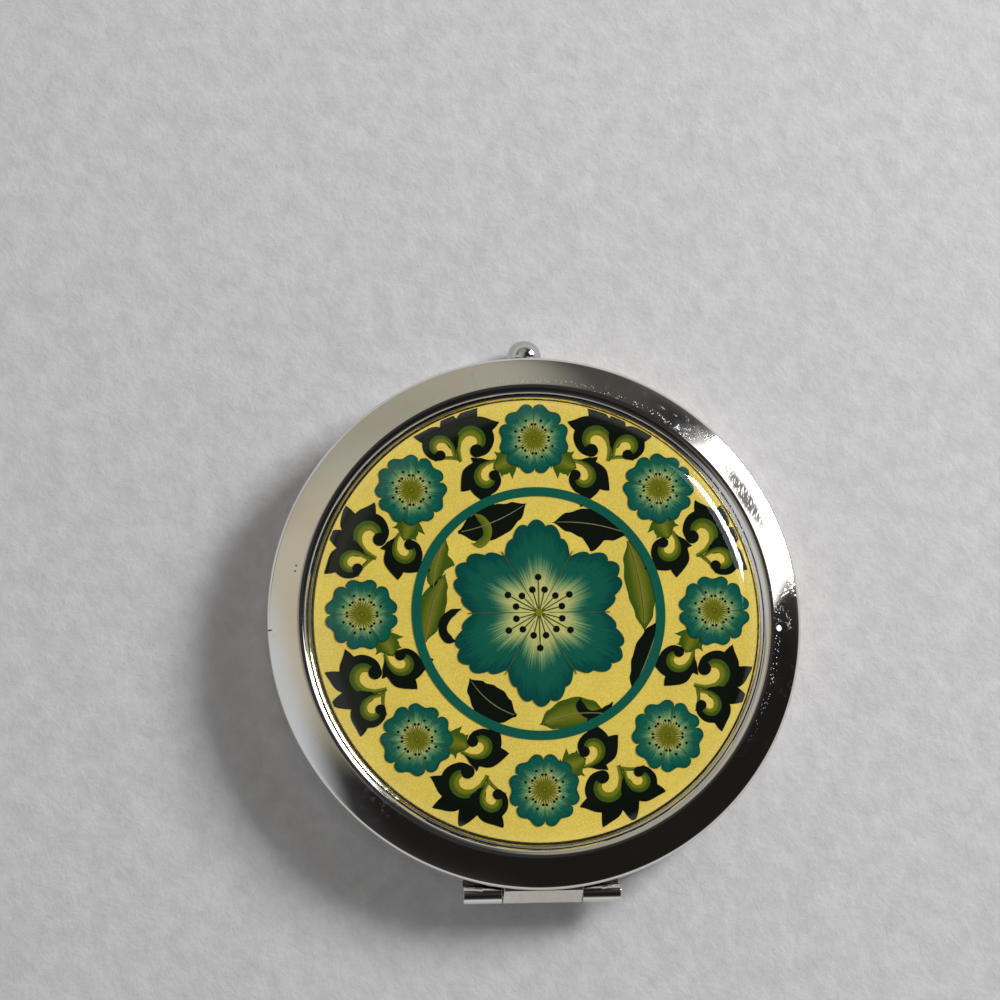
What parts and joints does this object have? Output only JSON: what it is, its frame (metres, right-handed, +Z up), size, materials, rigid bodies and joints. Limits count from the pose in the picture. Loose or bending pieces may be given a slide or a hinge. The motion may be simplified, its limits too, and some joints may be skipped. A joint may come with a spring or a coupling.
{
  "type": "compact mirror",
  "caption": "Round hinged metal compact with a domed floral insert in the lid, a flat and a magnifying mirror inside, and a sprung push-button latch",
  "frame": {"origin": "centre of the round case, on the flat face that it rests on", "axes": "+Z up through the closed case towards the decorated lid, -Y towards the hinge, +Y towards the push button, +X to the right with the lid up and the hinge nearest"},
  "size_m": [0.07, 0.075, 0.0102],
  "materials": {
    "nickel": "polished nickel plate, lightly scratched",
    "frame_metal": "polished nickel plate",
    "steel": "plain pressed steel",
    "spring_steel": "blued spring strip",
    "mirror_glass": "silvered glass",
    "resin": "clear domed resin",
    "print": "printed disc with a teal and green floral pattern on yellow",
    "glue": "adhesive sheet",
    "foam": "adhesive foam"
  },
  "bodies": {
    "base": {"base_shell": "nickel", "base_hinge_leaf": "nickel", "hinge_pin": "steel", "base_mirror_pad": "foam", "base_mirror": "mirror_glass", "base_mirror_frame": "frame_metal", "latch_guide": "steel", "latch_spring": "spring_steel"},
    "lid": {"lid_shell": "nickel", "lid_hinge_leaf": "nickel", "insert_glue": "glue", "printed_disc": "print", "resin_dome": "resin", "lid_mirror_pad": "foam", "lid_mirror": "mirror_glass", "lid_mirror_frame": "frame_metal", "lid_catch_hook": "steel", "hook_rivets": "steel"},
    "button": {"button_ball": "nickel", "button_stem": "steel", "latch_slide": "steel"}
  },
  "joints": [
    {"name": "lid_hinge", "type": "hinge", "parent": "base", "child": "lid", "pos_m": [0, -0.0353, 0.00447], "axis": [1, 0, 0], "range_deg": [0, 165]},
    {"name": "button_press", "type": "slide", "parent": "base", "child": "button", "axis": [0, -1, 0], "range_m": [0, 0.0007], "stiffness_N_per_m": 500, "springref_m": -0.001, "deforming": ["latch_spring"]}
  ]
}
